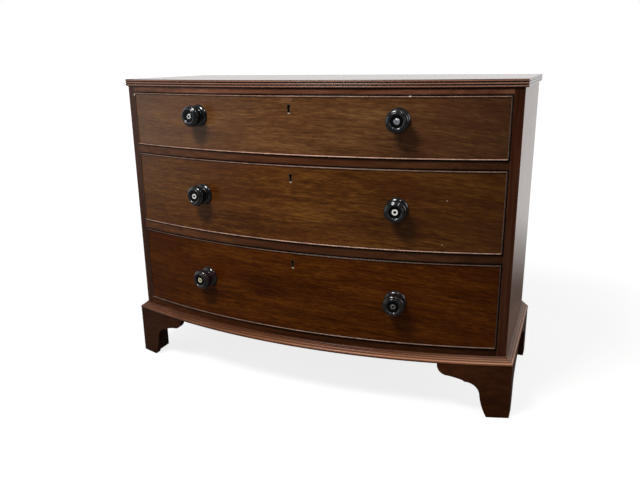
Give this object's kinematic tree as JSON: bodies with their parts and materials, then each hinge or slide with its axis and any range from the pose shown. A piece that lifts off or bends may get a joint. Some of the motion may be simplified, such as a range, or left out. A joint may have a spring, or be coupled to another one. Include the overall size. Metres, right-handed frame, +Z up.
{
  "type": "bow front chest of drawers",
  "caption": "Bow front chest with long sliding drawers, turned knobs, locks, a reeded top edge and bracket feet, for storing clothes and linen.",
  "frame": {"origin": "on the floor under the middle of the overall footprint", "axes": "+Z up, +Y from the drawer fronts to the back boards, +X to the right of someone who faces the drawers"},
  "size_m": [1.078, 0.4941, 0.801],
  "materials": {
    "mahogany": "waxed French polish over red-brown mahogany",
    "drawer_front_mahogany": "waxed French polish over figured mahogany veneer",
    "oak": "planed and unpolished",
    "pine": "sawn and planed, unpolished",
    "ebonised_wood": "turned, stained black and polished",
    "mother_of_pearl": "polished shell",
    "brass": "aged",
    "steel": "dull"
  },
  "bodies": {
    "carcase": {"top_board": "mahogany", "side_left": "mahogany", "side_right": "mahogany", "rail_top": "mahogany", "rail_upper": "mahogany", "rail_lower": "mahogany", "rail_bottom": "mahogany", "rail_back": "pine", "dust_board_upper": "pine", "dust_board_lower": "pine", "bottom_board": "pine", "drawer_runners": "oak", "kickers": "oak", "drawer_stops": "oak", "back_boards": "pine", "top_screws": "steel", "base_moulding_front": "mahogany", "base_moulding_left": "mahogany", "base_moulding_right": "mahogany", "foot_front_left_face": "mahogany", "foot_front_left_return": "mahogany", "foot_front_right_face": "mahogany", "foot_front_right_return": "mahogany", "foot_back_left": "mahogany", "foot_back_right": "mahogany", "foot_back_braces": "pine", "foot_blocks": "pine"},
    "drawer_upper": {"drawer_upper_front": "drawer_front_mahogany", "drawer_upper_cockbeads": "mahogany", "drawer_upper_side_left": "oak", "drawer_upper_side_right": "oak", "drawer_upper_back": "oak", "drawer_upper_bottom": "pine", "drawer_upper_escutcheon": "brass", "drawer_upper_lock": "brass", "drawer_upper_knobs": "ebonised_wood", "drawer_upper_pearl_rings": "mother_of_pearl"},
    "bolt_upper": {"drawer_upper_lock_bolt": "brass"},
    "drawer_middle": {"drawer_middle_front": "drawer_front_mahogany", "drawer_middle_cockbeads": "mahogany", "drawer_middle_side_left": "oak", "drawer_middle_side_right": "oak", "drawer_middle_back": "oak", "drawer_middle_bottom": "pine", "drawer_middle_escutcheon": "brass", "drawer_middle_lock": "brass", "drawer_middle_knobs": "ebonised_wood", "drawer_middle_pearl_rings": "mother_of_pearl"},
    "bolt_middle": {"drawer_middle_lock_bolt": "brass"},
    "drawer_lower": {"drawer_lower_front": "drawer_front_mahogany", "drawer_lower_cockbeads": "mahogany", "drawer_lower_side_left": "oak", "drawer_lower_side_right": "oak", "drawer_lower_back": "oak", "drawer_lower_bottom": "pine", "drawer_lower_escutcheon": "brass", "drawer_lower_lock": "brass", "drawer_lower_knobs": "ebonised_wood", "drawer_lower_pearl_rings": "mother_of_pearl"},
    "bolt_lower": {"drawer_lower_lock_bolt": "brass"}
  },
  "joints": [
    {"name": "drawer_upper_slide", "type": "slide", "parent": "carcase", "child": "drawer_upper", "axis": [0, -1, 0], "range_m": [0, 0.3]},
    {"name": "bolt_upper_slide", "type": "slide", "parent": "drawer_upper", "child": "bolt_upper", "axis": [0, 0, 1], "range_m": [0, 0.007]},
    {"name": "drawer_middle_slide", "type": "slide", "parent": "carcase", "child": "drawer_middle", "axis": [0, -1, 0], "range_m": [0, 0.3]},
    {"name": "bolt_middle_slide", "type": "slide", "parent": "drawer_middle", "child": "bolt_middle", "axis": [0, 0, 1], "range_m": [0, 0.007]},
    {"name": "drawer_lower_slide", "type": "slide", "parent": "carcase", "child": "drawer_lower", "axis": [0, -1, 0], "range_m": [0, 0.3]},
    {"name": "bolt_lower_slide", "type": "slide", "parent": "drawer_lower", "child": "bolt_lower", "axis": [0, 0, 1], "range_m": [0, 0.007]}
  ]
}
